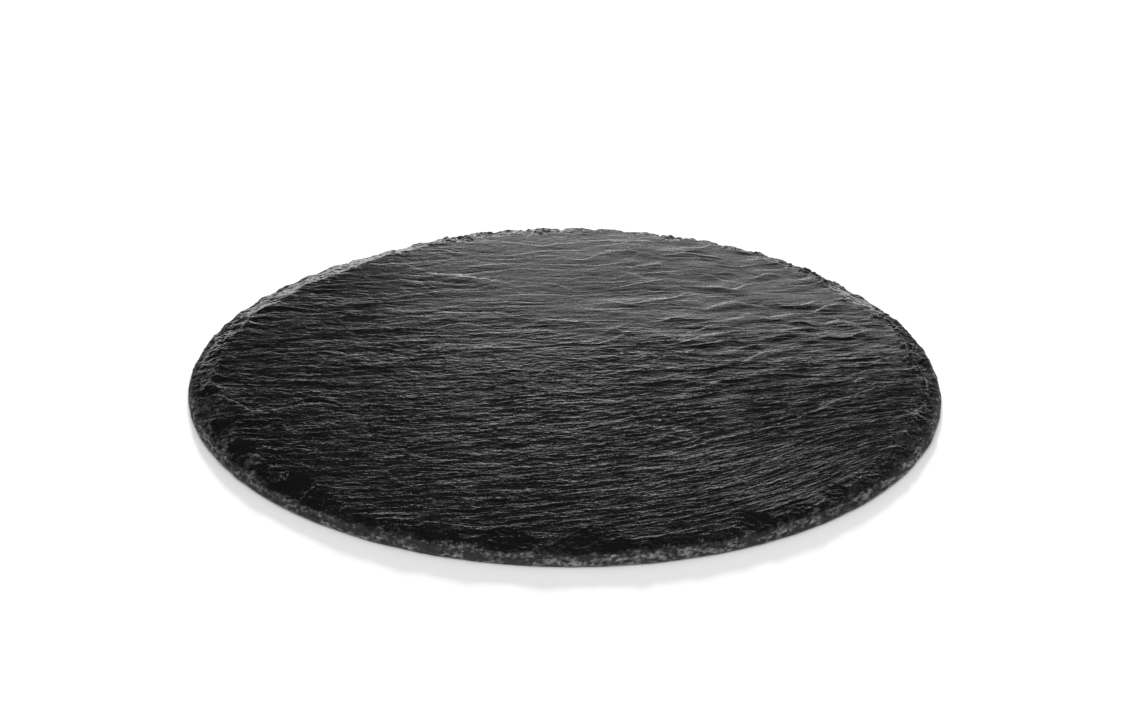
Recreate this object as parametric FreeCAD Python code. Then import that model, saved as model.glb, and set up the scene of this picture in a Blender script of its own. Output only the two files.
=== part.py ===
import FreeCAD, Part

import math
import os
import random

# A round plate of natural slate: one slab split along its cleavage, with its rim knapped by hand.
# It rests flat on its underside. Millimetres, +Z up, the origin under the middle of the plate.

# Overall size
diameter = 300.0
thickness = 7.0             # from the underside to the highest points of the split face

# The knapped rim: a rough lip that leans in, and above it a slope that the flakes were struck from
lip_height = 4.4
lip_lean = 2.0              # how far the lip's top edge stands in from its foot
slope_run = 5.0             # how far in from the lip's top edge the slope reaches
slope_rise = thickness - lip_height
slope_angle = math.atan2(slope_rise, slope_run)
slope_length = math.hypot(slope_rise, slope_run)

# The outline is a circle with slow waves in it: (waves round the rim, amplitude, azimuth of a crest)
outline_waves = [
    (2, 1.2, 135.0),
    (3, 0.4, 58.0),
    (4, 0.2, -19.0),
]

# One flat side of the rim for each flake, and in each side the hollow that the flake left
flake_count = 62
flake_seed = 11             # settles the random widths and depths of the flakes
width_spread = 0.38         # how far a flake's width strays from the mean, as a share of it
depth_ratio_low = 0.045     # a hollow's depth as a share of its width
depth_ratio_high = 0.085

# A few larger flakes broke further into the split face: (azimuth, width, depth)
large_flakes = [
    (32.0, 20.0, 1.4),
    (97.0, 22.0, 1.4),
    (140.0, 30.0, 1.6),
    (198.5, 20.0, 1.4),
    (206.8, 17.0, 1.4),
    (222.6, 26.0, 1.8),
    (260.8, 19.0, 1.5),
    (275.2, 26.0, 1.6),
    (299.6, 13.0, 1.2),
    (315.8, 14.0, 1.3),
    (341.0, 15.0, 1.3),
    (348.5, 18.0, 1.6),
]


def rim_radius(azimuth):
    """Distance from the middle to the rim at an azimuth in radians."""
    radius = diameter / 2
    for order, amplitude, crest in outline_waves:
        radius += amplitude * math.cos(order * (azimuth - math.radians(crest)))
    return radius


def polar(radius, azimuth, height):
    return FreeCAD.Vector(radius * math.cos(azimuth), radius * math.sin(azimuth), height)


def flake_azimuths(rng):
    """The azimuths where one flake meets the next, uneven but closing exactly on the full turn."""
    widths = [rng.uniform(1 - width_spread, 1 + width_spread) for _ in range(flake_count)]
    azimuths = []
    travelled = 0.0
    for width in widths:
        azimuths.append(2 * math.pi * travelled / sum(widths))
        travelled += width
    return azimuths


def ring(azimuths, inset, height):
    """The corners of the many-sided outline, drawn in from the rim by a share of its radius."""
    share = 1 - inset / (diameter / 2)
    return [polar(share * rim_radius(azimuth), azimuth, height) for azimuth in azimuths]


def band(lower, upper):
    """Flat four-sided faces between two rings with the same number of corners."""
    faces = []
    for i in range(len(lower)):
        j = (i + 1) % len(lower)
        corners = [lower[i], lower[j], upper[j], upper[i], lower[i]]
        faces.append(Part.Face(Part.makePolygon(corners)))
    return faces


def rim_blank(azimuths):
    """The slab before the hollows: flat faces, a leaning lip and a straight slope above it."""
    foot = ring(azimuths, 0.0, 0.0)
    lip = ring(azimuths, lip_lean, lip_height)
    crown = ring(azimuths, lip_lean + slope_run, thickness)
    underside = Part.Face(Part.makePolygon(foot + foot[:1]))
    split_face = Part.Face(Part.makePolygon(crown + crown[:1]))
    faces = band(foot, lip) + band(lip, crown) + [underside, split_face]
    return Part.Solid(Part.makeShell(faces))


def hollow(azimuth, width, depth):
    """The ball that leaves a shell-shaped hollow of this width and depth in the middle of the slope."""
    ball_radius = width ** 2 / (8 * depth) + depth / 2
    tangent = FreeCAD.Vector(-math.sin(azimuth), math.cos(azimuth), 0)
    outward = polar(math.sin(slope_angle), azimuth, math.cos(slope_angle))
    uphill = tangent.cross(outward)
    middle_radius = rim_radius(azimuth) - lip_lean - slope_run / 2
    slope_middle = polar(middle_radius, azimuth, lip_height + slope_rise / 2)
    ball = Part.makeSphere(ball_radius)
    turn = FreeCAD.Rotation(outward, uphill, tangent, "ZXY")
    ball.Placement = FreeCAD.Placement(slope_middle + outward * (ball_radius - depth), turn)
    return ball


def struck_flakes(azimuths, rng):
    """One hollow for each side of the rim, as wide as the side, and then the few large ones."""
    balls = []
    for i, start in enumerate(azimuths):
        end = azimuths[i + 1] if i + 1 < len(azimuths) else 2 * math.pi
        width = (end - start) * diameter / 2
        depth = width * rng.uniform(depth_ratio_low, depth_ratio_high)
        balls.append(hollow((start + end) / 2, width, depth))
    for azimuth, width, depth in large_flakes:
        balls.append(hollow(math.radians(azimuth), width, depth))
    return balls


def slate_slab():
    rng = random.Random(flake_seed)
    azimuths = flake_azimuths(rng)
    slab = rim_blank(azimuths)
    for ball in struck_flakes(azimuths, rng):
        slab = slab.cut(ball)
    box = slab.optimalBoundingBox()
    slab.translate(FreeCAD.Vector(-box.Center.x, -box.Center.y, -box.ZMin))
    return slab.Solids[0]


os.makedirs("parts", exist_ok=True)
slate_slab().exportStep("parts/slate_slab.step")
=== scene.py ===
import math

import bpy
import numpy as np
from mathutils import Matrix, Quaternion, Vector

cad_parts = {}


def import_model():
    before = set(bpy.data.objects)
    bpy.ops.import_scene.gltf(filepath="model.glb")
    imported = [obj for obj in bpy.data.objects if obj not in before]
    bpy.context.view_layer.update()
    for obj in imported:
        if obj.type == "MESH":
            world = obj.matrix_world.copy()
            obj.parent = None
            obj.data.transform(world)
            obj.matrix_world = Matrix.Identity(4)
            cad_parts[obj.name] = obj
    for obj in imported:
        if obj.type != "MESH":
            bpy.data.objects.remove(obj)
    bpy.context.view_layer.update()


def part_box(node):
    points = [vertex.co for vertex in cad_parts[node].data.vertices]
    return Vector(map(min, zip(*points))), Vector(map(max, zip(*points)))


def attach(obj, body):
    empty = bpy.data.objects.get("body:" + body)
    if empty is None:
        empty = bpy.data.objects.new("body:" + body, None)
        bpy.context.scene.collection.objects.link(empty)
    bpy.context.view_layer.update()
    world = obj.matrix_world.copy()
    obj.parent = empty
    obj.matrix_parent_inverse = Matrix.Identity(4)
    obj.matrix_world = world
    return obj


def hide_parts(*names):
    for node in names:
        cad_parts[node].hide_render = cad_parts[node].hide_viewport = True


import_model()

# A round plate of black slate: one slab, split along its cleavage, with a hand-knapped rim.
# Lengths in the shape code are millimetres in the frame's own axes; the mesh is written in metres.
MM = 0.001
SLAB = "slate_slab"

slab_low, slab_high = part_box(SLAB)
RADIUS = (slab_high.x - slab_low.x) / 2 / MM
ROUND_RIM = 2 * math.pi * RADIUS
THICKNESS = slab_high.z / MM

FACE_DEPTH = 0.6        # how far the mean height of the split face lies under its highest points
FACE_HEIGHT = THICKNESS - FACE_DEPTH

# Mesh density: squares across the split face and across the underside, and rows down the lip
FACE_CELLS = 1000
UNDER_CELLS = FACE_CELLS // 2
LIP_ROWS = 14

# Random hills are given as rows. A list called HILLS holds hills as long as they are wide, with rows
# of (height, size, seed, octaves, gain). Any other row says (height, length, width, seed, octaves,
# gain). A row without a gain has 0.5.

# ---------------------------------------------------------------- sizes of the rim

# Slow waves in the outline: (waves round the rim, amplitude, azimuth of a crest in degrees)
OUTLINE_WAVES = [(2, 1.2, 135), (3, 0.4, 58), (4, 0.2, -19)]
SCALLOP_HILLS = [(0.4, 9, 621, 3, 0.55)]
SCALLOP_SHARE = 0.93    # the share of the radius beyond which the outline is scalloped

# The rim: a rough lip that leans in, with a knapped slope above it that is wide only at the rear.
# Each row: azimuth in degrees, height of the lip, run of the slope, how smooth the slope is (0 to 1)
RIM_PROFILE = [
    (0, 4.1, 8.0, 0.0),
    (22, 4.4, 6.0, 0.0),
    (29, 3.6, 10.0, 0.9),
    (36, 3.6, 10.0, 0.9),
    (43, 4.6, 5.0, 0.1),
    (80, 4.7, 5.0, 0.1),
    (92, 5.0, 8.0, 0.3),
    (103, 5.0, 8.0, 0.3),
    (112, 4.2, 8.0, 0.4),
    (118, 3.3, 10.0, 0.8),
    (130, 3.1, 11.0, 0.85),
    (150, 3.1, 10.5, 0.85),
    (158, 3.6, 8.5, 0.6),
    (174, 3.8, 8.5, 0.5),
    (188, 4.1, 7.5, 0.1),
    (200, 4.3, 7.0, 0.0),
    (215, 4.6, 5.5, 0.0),
    (230, 4.8, 4.0, 0.0),
    (270, 4.9, 3.2, 0.0),
    (315, 4.7, 3.8, 0.0),
    (340, 4.4, 6.5, 0.0),
]
LOWEST_LIP = 2.4

# The lip is bitten in between round lobes, most at the rear left. Each row: the azimuths in degrees
# where the bites begin, are full, begin to end and have ended, and how deep they are (0 to 1)
BITTEN = [
    (108, 120, 158, 172, 0.9),
    (15, 45, 108, 120, 0.4),
]
BITTEN_ELSEWHERE = 0.1
BITE_WIDTH = 14.0
BITE_UNEVEN = 0.35      # how unevenly the bites follow each other, in bites
BITE_UNEVEN_SIZE = 2.7  # the number of bites over which that changes
BITE_SEED = 631
BITE_SHARPNESS = 0.6
BITE_DEPTH = 4.2        # inward
BITE_DROP = 2.0
BITE_REACH = 4.5        # how far in the drop fades out

# The lip from its top edge down: it leans out, then turns under
LIP_LEAN = 2.0
LEAN_CURVE = 0.6        # under 1 the lip is rounded outward
FOOT_TURN = 0.8         # the share of the lip's height, from its top, at which it turns under
UNDER_CUT = 0.7
FOOT_GAP = 0.12         # the least height of the foot over the ground
FOOT_RISE = 0.15
FOOT_RISE_LENGTH = 9
FOOT_RISE_SEED = 601
FOOT_WANDER = 0.25
FOOT_WANDER_LENGTH = 14
FOOT_WANDER_SEED = 603
LEDGES = (0.40, 9, 0.9, 617, 2)
GRAINS = (0.36, 2.2, 1.3, 611, 4, 0.62)
LIP_NOISE_START = 50    # where in the noise the lip's foot lies
SMOOTH_FOOT = 0.2       # the share of the lip's height, from its foot, that isn't roughened
SEAM_BLEND = 20         # the length over which the noise of both ends of the lip is blended

# Hills that make the edges of the slope and of its flakes wander, crumble and wave
INWARD_HILLS = [(1.5, 8, 501, 1), (0.8, 2.6, 503, 2)]
ASIDE_HILLS = [(1.8, 7, 502, 1), (0.8, 2.2, 504, 2)]
CRUMBLE_HILLS = [(1.0, 2.4, 511, 3, 0.65)]
WAVE_HILLS = [(0.5, 11, 505, 1)]
LUMP_HILLS = [(0.45, 3.5, 507, 2)]

# How strongly they act on the slope: (where it is rough, what full smoothness adds)
WANDER_SHARE = (1, -0.3)
WAVE_SHARE = (1, 0.3)
LUMP_SHARE = (1, -0.75)
CRUMBLE_SHARE = (0.14, -0.12)
STEPPED_SHARE = (0.6, -0.6)
SLOPE_STEP = 0.42
SLOPE_STEP_SOFTNESS = 0.2
SLOPE_STEP_CRUMBLE = 0.3
SLOPE_UNDER_LIP = 0.15  # how far the slope may go below the lip
SLOPE_LIP_CRUMBLE = 0.25

# Small flakes that follow each other round the rim; pairs are the least and the most
FLAKE_COUNT = 76
FLAKE_SEED = 11
FLAKE_WIDTHS = (0.5, 1.5)           # in mean widths
FLAKE_OVERLAP = 1.3
FLAKE_REACH = (0.7, 1.5)            # in runs of the slope
FLAKE_FURTHER = 4                   # a few reach up to this much further in
FLAKE_DROP = (0.8, 1.2)             # in heights of the slope
FLAKE_REAR_DROP = 1.0               # and up to this much more at the rear,
FLAKE_REAR = (-40, 40)              # which begins and is full at these Y
FLAKE_WANDER = 0.8
SIDE_CURL = 3                       # how sharply the bed of a flake curls up at its sides

# Flakes that broke into the split face and left a smooth dark bed:
# (azimuth in degrees, width at the rim, reach into the face, drop at the rim)
SMOOTH_BEDS = [
    (198.5, 22, 12, 1.9),
    (206.8, 19, 14, 1.9),
    (214.0, 16, 8, 1.6),
    (221.5, 27, 17, 3.4),
    (227.5, 15, 12, 2.8),
    (230.0, 15, 12, 1.6),
    (238.0, 26, 6, 1.5),
    (250.0, 40, 7, 1.5),
    (261.5, 30, 14, 1.7),
    (274.0, 34, 15, 1.7),
    (286.0, 24, 7, 1.5),
    (299.6, 20, 14, 1.8),
    (308.0, 16, 8, 1.6),
    (315.8, 18, 15, 1.9),
    (324.0, 22, 12, 1.8),
    (341.0, 15, 10, 2.0),
    (348.5, 17, 11, 2.4),
]
BED_WANDER = 1.7
BED_ASIDE = 1.6
BED_UNDER_LIP = 0.4     # how far a bed may go below the lip
BED_LIP_CRUMBLE = 0.15
BED_GRAIN = (0.08, 3, 2, 521, 2)

# Marks for the stone's look. Each pair is where a mark begins and where it is full
BED_MARK = (0.0, 0.15)              # how deep a bed lies
KNAPPED_MARK = (0.0, 0.25)          # how deep the slope lies
CREST_MARK = (1.8, 0.4)             # how far in from the lip's top edge
PATCH_MARK = (0.0, 0.5)             # the noise at which a patch begins and is whole
RAGGED_HILLS = [(1.0, 3.5, 531, 3, 0.6)]
PATCH_HILLS = [(1.0, 9, 535, 2)]
CREST_RAGGED = 1.3
PATCH_RAGGED = 0.5
CREST_PALE = (0.5, 0.5)             # everywhere, and what the patches add
KNAPPED_PALE = 0.8

# ---------------------------------------------------------------- sizes of the split face

# The grain runs along X and leans a little. In front it fans out: it turns up steeply to the right of
# FAN_X, and a little to the left of LEFT_X. At the rear it droops to the right of DROOP_X.
# Pairs of X or Y say where something begins and where it is full
GRAIN_LEAN = 0.08
BEHIND_FAN = (-75, 25)
DROOP_Y = (20, 120)
FAN_TURN = 0.44
FAN_BEND = 17
FAN_X = 60
FAN_WIDTH = 45
LEFT_BEND = 4.0
LEFT_X = -75
LEFT_WIDTH = 25
DROOP = -0.04
DROOP_BEND = -0.0004
DROOP_X = -20

# The spacing of the grain across it: even at the rear, closer in front of CLOSER_FROM
ACROSS_SCALE = 0.9
CLOSER = 0.003
CLOSER_FROM = 75

# The scale along the grain, and what the rear takes away from it
ALONG_SCALE = 1.7
REAR_ALONG = 0.7
REAR_ALONG_Y = (-60, 60)

# Waves in the grain, the last two in its own scale: (height, length, width, seed)
GRAIN_WAVES = [(2.4, 60, 30, 301), (0.75, 16, 9, 302)]
FINE_WAVES = [(0.32, 5, 4, 303), (0.14, 1.8, 2, 304)]

# Slow forms, strands of fibre and rougher zones
SWELL = (0.24, 80, 45, 401, 2)
POOLS = (0.32, 24, 13, 405, 2)
POOLS_X = (-20, 80)
POOLS_Y = (-80, 20)
STRANDS = (0.05, 2.4, 1.1, 431, 1)
ROUGH_ZONES = (1.0, 34, 22, 451, 2)
ROUGH_MARK = (-0.35, 0.45)      # the noise at which a zone begins to be rough and is fully rough

# Sheets broken into flat layers, with the height of a layer and how wide its edge is
THICK_SHEET = (0.40, 26, 8, 411, 4, 0.58)
THICK_STEP = 0.22
THICK_RISER = 0.5
THIN_SHEET = (0.20, 7.5, 2.4, 421, 3, 0.66)
THIN_STEP = 0.11
THIN_RISER = 0.36
LAYER_HEIGHT = 0.42
SLOPE_SPAN = 0.1        # the span over which a sheet's slope is measured
LEAST_SLOPE = 1e-4

# Crests along the grain: (height, spacing, length, share of the spacing that the drop takes, seed)
LONG_CRESTS = (0.30, 6.5, 32, 0.15, 443)
BOLD_CRESTS = (0.50, 9.5, 22, 0.24, 447)
SHORT_CRESTS = (0.15, 2.7, 17, 0.2, 461)
MEAN_CREST = 0.3
CREST_STRAY = 0.9       # how far a crest strays across the grain, in spacings
CREST_BREADTH = 2.5     # the spacings over which the straying changes
CREST_SHOWS = (-0.35, 0.45)     # the noise at which a crest begins to show and is whole
CREST_OFFSET_ALONG = 17.3       # these two give each crest its own stretch of noise
CREST_OFFSET_ACROSS = 0.37
CREST_OFFSET_SEED = 7           # added to the seed of the crests

# How strong each form is: (front left, what the rear adds, what the right adds)
LAYER_STRENGTH = (1.2, -0.85, 0)
STRAND_STRENGTH = (0.5, -0.3, 0)
LONG_STRENGTH = (1.1, -0.6, 0)
BOLD_STRENGTH = (0.15, 0, 1.3)
BOLD_SHARE = (1, -0.4, 0)
SHORT_STRENGTH = (1.05, -0.6, 0.4)
# EDGE_STRENGTH scales the pale grey on the edges of layers, which is partly a painted highlight along the
# crest lines
EDGE_STRENGTH = (1, -0.8, 0)
RIGHT_X = (-20, 90)
RIGHT_Y = (-110, -10)
REAR_X = (-90, -10)
REAR_Y = (-20, 90)
REAR_SHARE = (0.35, 0.65)           # everywhere at the rear, and what its right side adds

# The same for the rougher zones: (everywhere, what they add)
THIN_SHARE = (0.5, 0.5)
SHORT_SHARE = (0.6, 0.4)
THIN_EDGE = (0.35, 0.65)
THICK_EDGE = 0.8

# Steps across the grain that catch the light from behind: the ground in front of the line stands
# higher. Each: how high, then corners of the line in millimetres from the middle
HIGH_STEPS = [
    (0.46, [(-139, -14), (-130, -22), (-123, -30), (-116, -29), (-111, -27), (-105, -24), (-96, -23)]),
    (0.40, [(-139, -51), (-133, -56), (-128, -60), (-122, -66), (-117, -72)]),
    (0.34, [(-56, 100), (-43, 97), (-30, 93)]),
    (0.40, [(110, 56), (117, 50), (124, 45)]),
    (0.40, [(113, -4), (119, -1), (122, -6)]),
    (0.34, [(76, -47), (92, -35), (108, -20), (125, -8)]),
]
STEP_RISE = 2.3
STEP_FADE = 14.0
STEP_HILLS = [(0.9, 4, 541, 3, 0.6)]
STEP_OUTER = 5          # how far past the end of its line a step begins
STEP_INNER = 3          # and how far inside it the step is full
STEP_CALM = 0.8         # the share of the fine relief that its steep side loses

# Thin ridges: (height, half width, corners of the line in millimetres from the middle).
# The first follows the top of the slope at the right, the others are the edges of scratches
THIN_RIDGES = [
    (0.45, 1.1, [(137, 30), (141, 15), (143, 2), (144, -12), (141, -25), (137, -38), (133, -50)]),
    (0.25, 0.5, [(-2, -139), (10, -128)]),
    (0.25, 0.5, [(13, -138), (16, -131)]),
    (0.25, 0.5, [(19, -132), (22, -133)]),
]
RIDGE_HILLS_X = [(0.5, 3, 551, 2)]
RIDGE_HILLS_Y = [(0.5, 3, 552, 2)]

# The underside: low layers with fine grain on them, hollow by UNDER_DEPTH in the mean
UNDER_LAYERS = (0.5, 50, 14, 701, 4)
UNDER_GRAIN = (0.05, 12, 2.6, 711, 2)
UNDER_STEP = 0.15
UNDER_STEP_SOFTNESS = 0.12
UNDER_DEPTH = 0.3
DEEPEST_HOLLOW = 0.9
UNDER_EDGE = 0.5        # how far its edge stands in from the foot of the lip
UNDER_EDGE_DROP = 0.1   # and how much lower it lies

# ---------------------------------------------------------------- noise

TABLE = 1024            # directions in the table of the noise
OCTAVES = 2             # of the layered noises that aren't given as rows
NOISE_GAIN = 1.5        # brings the noise to roughly -1 to 1


def fade(t):
    """From 0 to 1, level at both ends."""
    return t * t * t * (t * (t * 6 - 15) + 10)


def gradient_noise(x, y, seed):
    """Smooth random hills about one unit apart, roughly between -1 and 1."""
    rng = np.random.default_rng(seed)
    order = rng.permutation(TABLE)
    turns = rng.uniform(0, 2 * math.pi, TABLE)
    slope_x, slope_y = np.cos(turns), np.sin(turns)
    left, low = np.floor(x), np.floor(y)
    fx, fy = x - left, y - low
    left, low = left.astype(np.int64), low.astype(np.int64)

    def corner(dx, dy):
        pick = order[(order[(left + dx) % TABLE] + low + dy) % TABLE]
        return slope_x[pick] * (fx - dx) + slope_y[pick] * (fy - dy)

    sx, sy = fade(fx), fade(fy)
    below = corner(0, 0) * (1 - sx) + corner(1, 0) * sx
    above = corner(0, 1) * (1 - sx) + corner(1, 1) * sx
    return NOISE_GAIN * (below * (1 - sy) + above * sy)


def layered_noise(x, y, seed, octaves, gain=0.5):
    """Noise with finer and fainter noise on top of it."""
    total = np.zeros_like(x)
    strength = 1.0
    for octave in range(octaves):
        total += strength * gradient_noise(x * 2 ** octave, y * 2 ** octave, seed + octave)
        strength *= gain
    return total


def long_hills(along, across, row):
    """Random hills with a length and a width of their own."""
    height, length, width, *form = row
    return height * layered_noise(along / length, across / width, *form)


def round_hills(x, y, rows):
    """The sum of random hills as long as they are wide."""
    total = np.zeros_like(x)
    for height, size, *form in rows:
        total += height * layered_noise(x / size, y / size, *form)
    return total


def smooth_step(low, high, value):
    t = np.clip((value - low) / (high - low), 0, 1)
    return t * t * (3 - 2 * t)


def hump(share):
    """1 half way between 0 and 1, and 0 at both."""
    return 4 * share * (1 - share)


def blend(pair, share):
    """The first of the pair, and as much of the second as the share says."""
    return pair[0] + pair[1] * share


def terraces(height, step, softness):
    """Height as flat treads one step apart, with risers that take a share of the tread."""
    level = height / step
    tread = np.floor(level)
    return step * (tread + smooth_step(0.5 - softness, 0.5 + softness, level - tread))


def broken_layers(sheet, along, across, step, riser):
    """Height of a sheet cut into flat layers one step apart, and where it is a broken edge (0 to 1).

    riser is the width of an edge.
    """
    height = long_hills(along, across, sheet)
    rise_along = (long_hills(along + SLOPE_SPAN, across, sheet) - height) / SLOPE_SPAN
    rise_across = (long_hills(along, across + SLOPE_SPAN, sheet) - height) / SLOPE_SPAN
    slope = np.hypot(rise_along, rise_across) + LEAST_SLOPE
    level = height / step
    tread = np.floor(level)
    past_edge = (level - tread - 0.5) * step / (slope * riser) + 0.5
    climbed = smooth_step(0, 1, past_edge)
    return step * (tread + climbed), hump(climbed)


def crests(kind, along, across):
    """Ridges that follow the grain, level in the mean: a long rise to the rear, then a short drop."""
    height, spacing, length, drop, seed = kind
    stray = layered_noise(along / length, across / (CREST_BREADTH * spacing), seed, OCTAVES)
    level = across / spacing + CREST_STRAY * stray
    ridge = np.floor(level)
    rise = level - ridge
    place_along = along / length + CREST_OFFSET_ALONG * ridge
    place_across = CREST_OFFSET_ACROSS * ridge
    shown = gradient_noise(place_along, place_across, seed + CREST_OFFSET_SEED)
    shown = smooth_step(*CREST_SHOWS, shown)
    return height * (shown * (rise - smooth_step(1 - drop, 1, rise)) - MEAN_CREST)


# ---------------------------------------------------------------- outline and flakes


def outline(azimuth):
    radius = np.full_like(azimuth, RADIUS)
    for order, amplitude, crest in OUTLINE_WAVES:
        radius = radius + amplitude * np.cos(order * (azimuth - math.radians(crest)))
    return radius


def inward_of_lip(x, y, azimuth):
    """How far in from the lip's top edge each point lies."""
    return outline(azimuth) - LIP_LEAN - np.hypot(x, y)


def bites(azimuth):
    """How deeply the lip is bitten in, from 0 to 1, in notches between round lobes."""
    place = azimuth * RADIUS / BITE_WIDTH
    uneven = layered_noise(place / BITE_UNEVEN_SIZE, 0 * place, BITE_SEED, OCTAVES)
    place = place + BITE_UNEVEN * uneven
    around = np.degrees(azimuth) % 360
    depth = BITTEN_ELSEWHERE
    for begin, full, leave, end, share in BITTEN:
        depth = depth + share * smooth_step(begin, full, around) * (1 - smooth_step(leave, end, around))
    return depth * (1 - np.abs(np.sin(math.pi * place)) ** BITE_SHARPNESS)


def rim_profile(azimuth):
    """Height of the lip, run of the slope above it and how smooth that slope is."""
    degrees, *columns = zip(*RIM_PROFILE)
    around = np.degrees(azimuth)
    return [np.interp(around, degrees, column, period=360) for column in columns]


def small_flakes():
    """(azimuth in degrees, width, reach, drop) of the flakes that follow each other round the rim."""
    rng = np.random.default_rng(FLAKE_SEED)
    widths = rng.uniform(*FLAKE_WIDTHS, FLAKE_COUNT)
    ends = np.cumsum(widths) / widths.sum() * 2 * math.pi
    starts = np.concatenate([[0], ends[:-1]])
    middles = (starts + ends) / 2
    lip, run, bevel = rim_profile(middles)
    width = (ends - starts) * RADIUS * FLAKE_OVERLAP
    reach = run * rng.uniform(*FLAKE_REACH, FLAKE_COUNT)
    reach = reach + rng.uniform(0, FLAKE_FURTHER, FLAKE_COUNT) ** 2 / FLAKE_FURTHER
    drop = (FACE_HEIGHT - lip) * rng.uniform(*FLAKE_DROP, FLAKE_COUNT)
    rear = smooth_step(*FLAKE_REAR, np.sin(middles) * RADIUS)
    drop = drop + rng.uniform(0, FLAKE_REAR_DROP, FLAKE_COUNT) * rear
    return list(zip(np.degrees(middles), width, reach, drop))


def flake_bed(inward, arc, degrees, width, reach, drop):
    """Height of the bed of a flake: it falls outward from its deepest reach and curls up at both sides."""
    aside = (arc - math.radians(degrees) * RADIUS + ROUND_RIM / 2) % ROUND_RIM - ROUND_RIM / 2
    return FACE_HEIGHT + drop * ((inward - reach) / reach + np.abs(2 * aside / width) ** SIDE_CURL)


# ---------------------------------------------------------------- the split face


def grain_lines(x, y):
    """Coordinates along and across the grain."""
    front = 1 - smooth_step(*BEHIND_FAN, y)
    rear = smooth_step(*DROOP_Y, y)
    bend = np.log(np.cosh((x - FAN_X) / FAN_WIDTH)) - np.log(np.cosh(FAN_X / FAN_WIDTH))
    fan = FAN_TURN * x + FAN_BEND * bend
    fan = fan + LEFT_BEND * np.log(1 + np.exp((LEFT_X - x) / LEFT_WIDTH))
    droop = DROOP * x + DROOP_BEND * np.maximum(x - DROOP_X, 0) ** 2
    across = y - GRAIN_LEAN * x - front * fan - rear * droop
    across = ACROSS_SCALE * across - CLOSER * np.minimum(across - CLOSER_FROM, 0) ** 2
    along = x * (ALONG_SCALE - REAR_ALONG * smooth_step(*REAR_ALONG_Y, y))
    for height, length, width, seed in GRAIN_WAVES:
        across = across + height * gradient_noise(x / length, across / width, seed)
    for height, length, width, seed in FINE_WAVES:
        across = across + height * gradient_noise(along / length, across / width, seed)
    return along, across


def split_face(x, y):
    """Height of the split face, the grain's coordinates there, and where a layer is broken off.

    The face is made of slow swells, layers with broken edges, crests along the grain and a few steps.
    """
    along, across = grain_lines(x, y)
    rough = smooth_step(*ROUGH_MARK, long_hills(x, y, ROUGH_ZONES))
    right = smooth_step(*RIGHT_X, x) * smooth_step(*RIGHT_Y, y)
    rear = smooth_step(*REAR_Y, y) * blend(REAR_SHARE, smooth_step(*REAR_X, x))

    def strength(row):
        front_left, rear_adds, right_adds = row
        return front_left + rear_adds * rear + right_adds * right

    thick, thick_edge = broken_layers(THICK_SHEET, along, across, THICK_STEP, THICK_RISER)
    thin, thin_edge = broken_layers(THIN_SHEET, along, across, THIN_STEP, THIN_RISER)
    layers = LAYER_HEIGHT * (thick + blend(THIN_SHARE, rough) * thin)
    strands = strength(STRAND_STRENGTH) * rough * long_hills(along, across, STRANDS)
    relief = strength(LAYER_STRENGTH) * (layers + strands)
    relief = relief + strength(LONG_STRENGTH) * crests(LONG_CRESTS, along, across)
    bold = strength(BOLD_STRENGTH) * strength(BOLD_SHARE)
    relief = relief + bold * crests(BOLD_CRESTS, along, across)
    short = strength(SHORT_STRENGTH) * blend(SHORT_SHARE, rough)
    relief = relief + short * crests(SHORT_CRESTS, along, across)

    slow = long_hills(x, y, SWELL)
    slow = slow + long_hills(x, across, POOLS) * smooth_step(*POOLS_X, x) * smooth_step(*POOLS_Y, y)
    steps, steep = high_steps(x, y)
    height = FACE_HEIGHT + slow + (1 - STEP_CALM * steep) * relief + steps
    # The edge mark is painted paler in the material: partly paler torn stone, partly a painted highlight
    # along layer edges and the steep sides of steps
    edge = np.maximum(THICK_EDGE * thick_edge, thin_edge * blend(THIN_EDGE, rough))
    return height, along, across, np.maximum(strength(EDGE_STRENGTH) * edge, steep)


def high_steps(x, y):
    """Height added by the steps, and where their steep side is.

    A step is steep to the rear and fades out slowly to the front.
    """
    total, steep = np.zeros_like(x), np.zeros_like(x)
    ragged = round_hills(x, y, STEP_HILLS)
    for rise, line in HIGH_STEPS:
        line_x, line_y = zip(*line)
        ahead = np.interp(x, line_x, line_y) + ragged - y
        ends = smooth_step(line_x[0] - STEP_OUTER, line_x[0] + STEP_INNER, x)
        ends = ends * (1 - smooth_step(line_x[-1] - STEP_INNER, line_x[-1] + STEP_OUTER, x))
        risen = smooth_step(0, STEP_RISE, ahead)
        total += rise * ends * risen * (1 - smooth_step(STEP_RISE, STEP_FADE, ahead))
        steep = np.maximum(steep, ends * hump(risen))
    return total, steep


def thin_ridges(x, y):
    """Height added by the thin ridges."""
    total = np.zeros_like(x)
    ragged_x = x + round_hills(x, y, RIDGE_HILLS_X)
    ragged_y = y + round_hills(x, y, RIDGE_HILLS_Y)
    for rise, half_width, line in THIN_RIDGES:
        for (start_x, start_y), (end_x, end_y) in zip(line, line[1:]):
            run_x, run_y = end_x - start_x, end_y - start_y
            share = (ragged_x - start_x) * run_x + (ragged_y - start_y) * run_y
            share = np.clip(share / (run_x ** 2 + run_y ** 2), 0, 1)
            away = np.hypot(ragged_x - start_x - share * run_x, ragged_y - start_y - share * run_y)
            total = np.maximum(total, rise * (1 - smooth_step(0, half_width, away)))
    return total


# ---------------------------------------------------------------- the knapped rim


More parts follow.
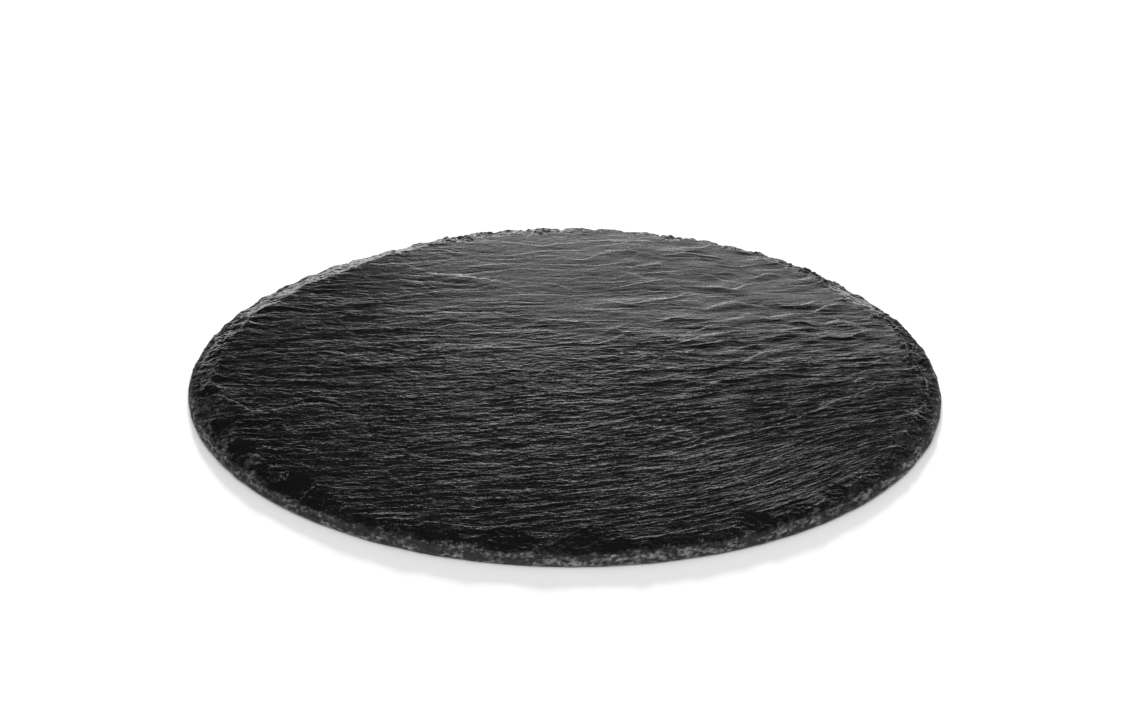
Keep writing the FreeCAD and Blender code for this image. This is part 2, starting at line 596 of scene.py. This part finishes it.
def knapped_rim(x, y, azimuth):
    """Height of the slope round the rim and of the smooth beds, and how smooth the slope is."""
    inward = inward_of_lip(x, y, azimuth)
    arc = azimuth * RADIUS
    wander = round_hills(x, y, INWARD_HILLS)
    aside = round_hills(x, y, ASIDE_HILLS)
    crumble = round_hills(x, y, CRUMBLE_HILLS)
    lip, run, bevel = rim_profile(azimuth)

    climb = np.maximum(inward + blend(WANDER_SHARE, bevel) * wander, 0)
    slope = lip + climb * (FACE_HEIGHT - lip) / run
    slope = slope + blend(WAVE_SHARE, bevel) * round_hills(x, y, WAVE_HILLS)
    slope = slope + blend(LUMP_SHARE, bevel) * round_hills(x, y, LUMP_HILLS)
    flaked = slope
    for flake in small_flakes():
        flaked = np.minimum(flaked, flake_bed(inward + FLAKE_WANDER * wander, arc + aside, *flake))
    slope = flaked * (1 - bevel) + slope * bevel
    slope = slope - BITE_DROP * bites(azimuth) * (1 - smooth_step(0, BITE_REACH, inward))
    slope = np.maximum(slope, lip - SLOPE_UNDER_LIP + SLOPE_LIP_CRUMBLE * crumble)
    stepped = terraces(slope + SLOPE_STEP_CRUMBLE * crumble, SLOPE_STEP, SLOPE_STEP_SOFTNESS)
    share = blend(STEPPED_SHARE, bevel)
    slope = (1 - share) * slope + share * stepped + blend(CRUMBLE_SHARE, bevel) * crumble

    beds = np.full_like(x, 2 * THICKNESS)
    for bed in SMOOTH_BEDS:
        beds = np.minimum(beds, flake_bed(inward + BED_WANDER * wander, arc + BED_ASIDE * aside, *bed))
    beds = np.maximum(beds, lip - BED_UNDER_LIP + BED_LIP_CRUMBLE * crumble)
    return slope, beds + long_hills(x, y, BED_GRAIN), bevel


def top_surface(x, y, azimuth):
    """Height of every point of the top, and the marks that the stone's look depends on."""
    face, along, across, edge = split_face(x, y)
    slope, beds, bevel = knapped_rim(x, y, azimuth)
    height = np.minimum(np.minimum(face, slope), beds) + thin_ridges(x, y)
    height = np.clip(height, LOWEST_LIP, THICKNESS)
    smooth = smooth_step(*BED_MARK, np.minimum(face, slope) - beds)
    ragged = round_hills(x, y, RAGGED_HILLS)
    crest = smooth_step(*CREST_MARK, inward_of_lip(x, y, azimuth) + CREST_RAGGED * ragged)
    patches = smooth_step(*PATCH_MARK, round_hills(x, y, PATCH_HILLS) + PATCH_RAGGED * ragged)
    knapped = smooth_step(*KNAPPED_MARK, face - height) * (1 - smooth)
    pale = np.maximum(crest * blend(CREST_PALE, patches), KNAPPED_PALE * knapped * patches)
    broken = (1 - bevel) * pale
    smooth = np.maximum(smooth, bevel * smooth_step(*BED_MARK, face - height))
    return height, along, across, broken, smooth, edge * (1 - broken) * (1 - smooth)


# ---------------------------------------------------------------- mesh


def disc_grid(cells):
    """A square grid bent into a unit disc: radius and azimuth of each corner, row by row."""
    steps = np.linspace(-1, 1, cells + 1)
    a, b = np.meshgrid(steps, steps)
    wide = np.abs(a) > np.abs(b)
    safe_a = np.where(a == 0, 1, a)
    safe_b = np.where(b == 0, 1, b)
    radius = np.where(wide, a, b)
    turn = np.where(wide, math.pi / 4 * b / safe_a, math.pi / 2 - math.pi / 4 * a / safe_b)
    x, y = radius * np.cos(turn), radius * np.sin(turn)
    return np.hypot(x, y).ravel(), np.arctan2(y, x).ravel()


def grid_quads(cells):
    row = cells + 1
    first = (np.arange(cells)[:, None] * row + np.arange(cells)[None, :]).ravel()
    return np.stack([first, first + 1, first + row + 1, first + row], axis=1)


def grid_border(cells):
    """The border corners of a disc grid, counter-clockwise."""
    row = cells + 1
    i = np.arange(cells)
    return np.concatenate([i, i * row + cells, cells * row + cells - i, (cells - i) * row])


def ring_quads(upper, lower):
    """Faces of the band between two rings of the same length, facing outward."""
    after_upper, after_lower = np.roll(upper, -1), np.roll(lower, -1)
    return np.stack([upper, lower, after_lower, after_upper], axis=1)


def ring_stitch(fine, coarse):
    """Triangles from a ring to one with half as many corners below it."""
    start, middle, end = fine[0::2], fine[1::2], np.roll(fine, -2)[0::2]
    after = np.roll(coarse, -1)
    return np.concatenate([
        np.stack([start, coarse, middle], axis=1),
        np.stack([middle, coarse, after], axis=1),
        np.stack([middle, after, end], axis=1),
    ])


def mesh_from(name, corners, quads, triangles):
    mesh = bpy.data.meshes.new(name)
    loops = np.concatenate([quads.ravel(), triangles.ravel()])
    sizes = np.concatenate([np.full(len(quads), 4), np.full(len(triangles), 3)])
    starts = np.concatenate([[0], np.cumsum(sizes)[:-1]])
    mesh.vertices.add(len(corners))
    mesh.vertices.foreach_set("co", (corners * MM).astype(np.float32).ravel())
    mesh.loops.add(len(loops))
    mesh.loops.foreach_set("vertex_index", loops.astype(np.int32))
    mesh.polygons.add(len(sizes))
    mesh.polygons.foreach_set("loop_start", starts.astype(np.int32))
    mesh.update(calc_edges=True)
    mesh.shade_smooth()
    mesh.validate()
    return mesh


def store_vector(mesh, name, values):
    attribute = mesh.attributes.new(name, "FLOAT_VECTOR", "POINT")
    attribute.data.foreach_set("vector", values.astype(np.float32).ravel())


def store_value(mesh, name, values):
    attribute = mesh.attributes.new(name, "FLOAT", "POINT")
    attribute.data.foreach_set("value", values.astype(np.float32))


def lip_rows(azimuth, radius, height):
    """Rows of corners down the lip, from below its top edge to just above the ground."""
    arc = azimuth * RADIUS
    seam = smooth_step(0, SEAM_BLEND, np.minimum(arc + ROUND_RIM / 2, ROUND_RIM / 2 - arc))

    def seamless(noise_at):
        return noise_at(arc) * seam + noise_at(arc % ROUND_RIM) * (1 - seam)

    def roughness(row, z):
        size, length, width, *form = row
        level = z / width + LIP_NOISE_START
        return size * seamless(lambda a: layered_noise(a / length, level, *form))

    rise = seamless(lambda a: gradient_noise(a / FOOT_RISE_LENGTH, 0 * a, FOOT_RISE_SEED))
    foot_height = FOOT_GAP + FOOT_RISE * (1 + rise)
    wander = seamless(lambda a: layered_noise(a / FOOT_WANDER_LENGTH, 0 * a, FOOT_WANDER_SEED, OCTAVES))
    foot = outline(azimuth) + FOOT_WANDER * wander
    rows = []
    for k in range(1, LIP_ROWS + 1):
        share = k / LIP_ROWS
        z = height * (1 - share) + foot_height * share
        taper = math.sin(math.pi * min(share + SMOOTH_FOOT, 1))
        rough = (roughness(GRAINS, z) + roughness(LEDGES, z)) * taper
        lean = min(share / FOOT_TURN, 1) ** LEAN_CURVE
        under_cut = UNDER_CUT * max(share - FOOT_TURN, 0) / (1 - FOOT_TURN)
        out = radius * (1 - lean) + foot * lean + rough - under_cut
        rows.append(np.stack([out * np.cos(azimuth), out * np.sin(azimuth), z], axis=1))
    return rows


def underside(foot, foot_azimuth):
    """Corners of the underside, with its border along the foot, and the grain's coordinates there."""
    share, azimuth = disc_grid(UNDER_CELLS)
    radius = share * (outline(azimuth) - UNDER_EDGE)
    x, y = radius * np.cos(azimuth), radius * np.sin(azimuth)
    along, across = grain_lines(x, -y)
    relief = terraces(long_hills(along, across, UNDER_LAYERS), UNDER_STEP, UNDER_STEP_SOFTNESS)
    relief = relief + long_hills(along, across, UNDER_GRAIN)
    height = np.clip(relief + UNDER_DEPTH, 0, DEEPEST_HOLLOW)
    corners = np.stack([x, y, height], axis=1)

    border = grid_border(UNDER_CELLS)
    corners[border, 0] = foot[:, 0] - UNDER_EDGE * np.cos(foot_azimuth)
    corners[border, 1] = foot[:, 1] - UNDER_EDGE * np.sin(foot_azimuth)
    corners[border, 2] = np.maximum(foot[:, 2] - UNDER_EDGE_DROP, 0)
    return corners, np.stack([along, across, height], axis=1)


def slab_mesh():
    share, azimuth = disc_grid(FACE_CELLS)
    radius = share * (outline(azimuth) - LIP_LEAN)
    border = grid_border(FACE_CELLS)
    scallop = round_hills(radius * np.cos(azimuth), radius * np.sin(azimuth), SCALLOP_HILLS)
    scallop = scallop - BITE_DEPTH * bites(azimuth)
    radius = radius + scallop * smooth_step(SCALLOP_SHARE, 1.0, share)
    x, y = radius * np.cos(azimuth), radius * np.sin(azimuth)
    height, along, across, broken, smooth, edge = top_surface(x, y, azimuth)
    top = np.stack([x, y, height], axis=1)
    rows = lip_rows(azimuth[border], radius[border], height[border])
    under, under_grain = underside(rows[-1][0::2], azimuth[border][0::2])

    corners = np.concatenate([top] + rows + [under])
    spread = corners[:, :2]
    corners[:, :2] = spread - (spread.max(axis=0) + spread.min(axis=0)) / 2
    count = len(border)
    rings = [border] + [len(top) + k * count + np.arange(count) for k in range(LIP_ROWS)]
    under_start = len(top) + LIP_ROWS * count
    quads = [grid_quads(FACE_CELLS)]
    for upper, lower in zip(rings, rings[1:]):
        quads.append(ring_quads(upper, lower))
    quads.append(under_start + grid_quads(UNDER_CELLS)[:, ::-1])
    triangles = ring_stitch(rings[-1], under_start + grid_border(UNDER_CELLS))
    mesh = mesh_from(SLAB + "_stone", corners, np.concatenate(quads), triangles)

    lip = np.concatenate(rows)
    lip_along, lip_across = grain_lines(lip[:, 0], lip[:, 1])
    top_grain = np.stack([along, across, height], axis=1)
    lip_grain = np.stack([lip_along, lip_across, lip[:, 2]], axis=1)
    all_lip, no_lip, no_under = np.ones(len(lip)), np.zeros(len(lip)), np.zeros(len(under))
    store_vector(mesh, "grain", np.concatenate([top_grain, lip_grain, under_grain]))
    store_value(mesh, "broken", np.concatenate([broken, all_lip, no_under]))
    store_value(mesh, "smooth", np.concatenate([smooth, no_lip, no_under]))
    store_value(mesh, "edge", np.concatenate([edge, no_lip, no_under]))
    return mesh


# ---------------------------------------------------------------- material

# Noises of the stone: (waves per millimetre along the grain, across it and up), detail, roughness
FIBRES = ((0.3, 1.3, 0.6), 4, 0.6)
CLOUDS = ((0.02, 0.05, 0.05), 3, 0.55)
CRUMBS = ((0.3, 0.3, 0.9), 4, 0.52)
BLOTCHES = ((0.07, 0.07, 0.3), 3, 0.6)
HAIR = ((1.0, 3.0, 1.5), 3, 0.6)

FIBRE_DARK = (0.006, 0.006, 0.0062, 1)
FIBRE_LIGHT = (0.011, 0.011, 0.0115, 1)
CLOUD_GREY = (0.013, 0.013, 0.0135, 1)
BED_GREY = (0.022, 0.022, 0.0223, 1)
# Pale grey for the broken edges of layers: partly paler torn stone, partly a painted highlight along the
# bright crest lines
TORN_AND_HIGHLIGHT_GREY = (0.07, 0.07, 0.0715, 1)
RUBBLE_DARK = (0.024, 0.024, 0.0245, 1)
RUBBLE_PALE = (0.42, 0.42, 0.425, 1)

# What a noise stands for: (two of its values, and the shares or the roughness at them)
FIBRE_SHARE = (0.3, 0.7, 0, 1)
CLOUD_SHARE = (0.35, 0.65, 0, 0.6)
CRUMB_SHARE = (0.43, 0.66, 0, 1)
BLOTCH_SHARE = (0.44, 0.58, 0.08, 1.0)
TORN_AND_HIGHLIGHT_SHARE = (0.3, 0.6, 0.15, 1.0)
FACE_ROUGHNESS = (0.3, 0.7, 0.32, 0.22)

BROKEN_ROUGHNESS = (0.7, 0.7, 0.7, 1)
BED_ROUGHNESS = (0.2, 0.2, 0.2, 1)
STONE_IOR = 1.5

# Bumps: (distance in metres, strength)
FIBRE_BUMP = (0.0002, 0.4)
HAIR_BUMP = (0.00004, 0.25)


def slate_material():
    material = bpy.data.materials.new("slate")
    material.use_nodes = True
    nodes, links = material.node_tree.nodes, material.node_tree.links
    shader = nodes["Principled BSDF"]

    def node(kind, **values):
        made = nodes.new(kind)
        for name, value in values.items():
            setattr(made, name, value)
        return made

    def attribute(name):
        return node("ShaderNodeAttribute", attribute_name=name)

    grain = attribute("grain").outputs["Vector"]

    def noise(waves, detail, roughness):
        mapping = node("ShaderNodeMapping")
        mapping.inputs["Scale"].default_value = waves
        links.new(grain, mapping.inputs["Vector"])
        made = node("ShaderNodeTexNoise")
        made.inputs["Scale"].default_value = 1.0
        made.inputs["Detail"].default_value = detail
        made.inputs["Roughness"].default_value = roughness
        links.new(mapping.outputs["Vector"], made.inputs["Vector"])
        return made.outputs["Fac"]

    def spread(value, limits):
        made = node("ShaderNodeMapRange")
        for name, number in zip(["From Min", "From Max", "To Min", "To Max"], limits):
            made.inputs[name].default_value = number
        links.new(value, made.inputs["Value"])
        return made.outputs["Result"]

    def mix(factor, first, second):
        made = node("ShaderNodeMix", data_type="RGBA")
        links.new(factor, made.inputs["Factor"])
        for socket, value in (("A", first), ("B", second)):
            target = [s for s in made.inputs if s.name == socket and s.type == "RGBA"][0]
            if isinstance(value, tuple):
                target.default_value = value
            else:
                links.new(value, target)
        return [s for s in made.outputs if s.type == "RGBA"][0]

    def multiply(first, second):
        made = node("ShaderNodeMath", operation="MULTIPLY")
        links.new(first, made.inputs[0])
        links.new(second, made.inputs[1])
        return made.outputs["Value"]

    def bump(height, distance, strength, normal=None):
        made = node("ShaderNodeBump")
        made.inputs["Distance"].default_value = distance
        made.inputs["Strength"].default_value = strength
        links.new(height, made.inputs["Height"])
        if normal is not None:
            links.new(normal, made.inputs["Normal"])
        return made.outputs["Normal"]

    broken = attribute("broken").outputs["Fac"]
    smooth = attribute("smooth").outputs["Fac"]
    edge = attribute("edge").outputs["Fac"]
    fibres = noise(*FIBRES)
    crumbs = noise(*CRUMBS)

    dark = mix(spread(fibres, FIBRE_SHARE), FIBRE_DARK, FIBRE_LIGHT)
    face = mix(spread(noise(*CLOUDS), CLOUD_SHARE), dark, CLOUD_GREY)
    # The pale grey on the edges of layers is partly torn stone and partly a painted highlight
    torn_and_highlight = multiply(edge, spread(crumbs, TORN_AND_HIGHLIGHT_SHARE))
    colour = mix(torn_and_highlight, face, TORN_AND_HIGHLIGHT_GREY)
    colour = mix(smooth, colour, BED_GREY)
    pale = multiply(spread(crumbs, CRUMB_SHARE), spread(noise(*BLOTCHES), BLOTCH_SHARE))
    rubble = mix(pale, RUBBLE_DARK, RUBBLE_PALE)
    links.new(mix(broken, colour, rubble), shader.inputs["Base Color"])

    dull = mix(broken, spread(fibres, FACE_ROUGHNESS), BROKEN_ROUGHNESS)
    links.new(mix(smooth, dull, BED_ROUGHNESS), shader.inputs["Roughness"])
    shader.inputs["IOR"].default_value = STONE_IOR

    normal = bump(fibres, *FIBRE_BUMP)
    normal = bump(noise(*HAIR), *HAIR_BUMP, normal)
    links.new(normal, shader.inputs["Normal"])
    return material


def plain_material(name, colour, roughness):
    material = bpy.data.materials.new(name)
    material.use_nodes = True
    shader = material.node_tree.nodes["Principled BSDF"]
    shader.inputs["Base Color"].default_value = colour
    shader.inputs["Roughness"].default_value = roughness
    return material


# ---------------------------------------------------------------- stage, light and camera

# From here on lengths are metres
FLOOR_SIZE = 30
FLOOR_WHITE = (0.9, 0.9, 0.9, 1)
FLOOR_ROUGHNESS = 0.9

# Panels behind the plate: (name, place, aim, width, depth, power, spread and roll in degrees).
# The first two are mirrored in the flats of the face, the low ones light its crests
PANELS = [
    ("back_panel", (0.20, 0.42, 0.145), (0.22, 0.07, 0), 0.56, 0.10, 0.0095, 30, -9),
    ("right_panel", (0.20, 0.42, 0.20), (0.14, 0.0, 0), 0.26, 0.07, 0.0017, 30, 0),
    ("low_panel_right", (0.24, 0.36, 0.035), (0.2, 0.06, 0), 0.42, 0.03, 0.08, 180, 0),
    ("low_panel_left", (-0.16, 0.36, 0.035), (-0.14, 0.03, 0), 0.4, 0.03, 0.085, 180, 0),
]

# Patches of sky: (name, azimuth, elevation and width in degrees, strength)
SUNS = [
    ("rake", 90, 7, 5, 0.03),
    ("fill", -90, 55, 40, 0.88),
]
FLOOR_SUNS = [
    ("floor_top", -50, 78, 150, 1.95),
    ("floor_back", 90, 14, 8, 4.2),
]

# Faint low lights for whoever looks from a side or from behind, where the grain would be black:
# (elevation and width in degrees, strength)
GLINT = (20, 12, 0.03)
GLINT_AZIMUTHS = [-135, -90, -45, 0, 135, 180]

# The room: (height on a sphere of radius 1, colour up to there or from there up)
ROOM = [
    (0.10, (0.6, 0.6, 0.6, 1)),
    (0.16, (0.004, 0.004, 0.004, 1)),
]

CAMERA_DISTANCE = 2.0
CAMERA_ELEVATION = 26.1
CAMERA_AIM = (0.0013, 0, 0.0139)
SENSOR_WIDTH = 36.0
FOCAL_LENGTH = 158.8


def floor():
    bpy.ops.mesh.primitive_plane_add(size=FLOOR_SIZE)
    plane = bpy.context.object
    plane.name = "floor"
    plane.data.materials.append(plain_material("floor_white", FLOOR_WHITE, FLOOR_ROUGHNESS))
    return plane


def soft_box(name, place, aim, width, depth, power, spread, roll):
    """A panel of light that the camera doesn't see."""
    light = bpy.data.lights.new(name, "AREA")
    light.shape = "RECTANGLE"
    light.size, light.size_y, light.energy = width, depth, power
    light.spread = math.radians(spread)
    box = bpy.data.objects.new(name, light)
    bpy.context.collection.objects.link(box)
    box.location = place
    turn = (Vector(aim) - Vector(place)).to_track_quat("-Z", "Y")
    box.rotation_euler = (turn @ Quaternion((0, 0, 1), math.radians(roll))).to_euler()
    box.visible_camera = False


def soft_sun(name, azimuth, elevation, spread, strength):
    """Light from a patch of sky, the same over the whole floor."""
    light = bpy.data.lights.new(name, "SUN")
    light.angle, light.energy = math.radians(spread), strength
    sun = bpy.data.objects.new(name, light)
    bpy.context.collection.objects.link(sun)
    a, e = math.radians(azimuth), math.radians(elevation)
    towards = Vector((math.cos(a) * math.cos(e), math.sin(a) * math.cos(e), math.sin(e)))
    sun.rotation_euler = towards.to_track_quat("Z", "Y").to_euler()
    return sun


def only_for(light, lit):
    """Let a light reach one object and no other."""
    group = bpy.data.collections.new(light.name + "_reaches")
    group.objects.link(lit)
    light.light_linking.receiver_collection = group


def lights(ground):
    """Low lights behind the plate that rake across the grain, a soft fill in front and a bright floor."""
    for panel in PANELS:
        soft_box(*panel)
    for sun in SUNS:
        soft_sun(*sun)
    for azimuth in GLINT_AZIMUTHS:
        soft_sun("glint", azimuth, *GLINT)
    for sun in FLOOR_SUNS:
        only_for(soft_sun(*sun), ground)


def world():
    """A room that is pale up to a little above the horizon and nearly black higher up."""
    made = bpy.data.worlds.new("studio")
    bpy.context.scene.world = made
    made.use_nodes = True
    nodes, links = made.node_tree.nodes, made.node_tree.links
    place = nodes.new("ShaderNodeTexCoord")
    split = nodes.new("ShaderNodeSeparateXYZ")
    ramp = nodes.new("ShaderNodeValToRGB")
    links.new(place.outputs["Generated"], split.inputs[0])
    links.new(split.outputs["Z"], ramp.inputs["Fac"])
    for element, (height, colour) in zip(ramp.color_ramp.elements, ROOM):
        element.position = height
        element.color = colour
    links.new(ramp.outputs["Color"], nodes["Background"].inputs["Color"])
    nodes["Background"].inputs["Strength"].default_value = 1.0


def camera():
    """A long lens about two metres away, 26 degrees above the floor, aimed a little over the plate."""
    data = bpy.data.cameras.new("camera")
    data.sensor_width = SENSOR_WIDTH
    data.lens = FOCAL_LENGTH
    made = bpy.data.objects.new("camera", data)
    bpy.context.collection.objects.link(made)
    elevation = math.radians(CAMERA_ELEVATION)
    made.location = (0, -CAMERA_DISTANCE * math.cos(elevation), CAMERA_DISTANCE * math.sin(elevation))
    made.rotation_euler = (Vector(CAMERA_AIM) - made.location).to_track_quat("-Z", "Y").to_euler()
    bpy.context.scene.camera = made


camera()
lights(floor())
world()
bpy.context.scene.view_settings.view_transform = "Standard"

stone = bpy.data.objects.new(SLAB + "_stone", slab_mesh())
bpy.context.collection.objects.link(stone)
stone.data.materials.append(slate_material())
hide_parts(SLAB)
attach(stone, "root")
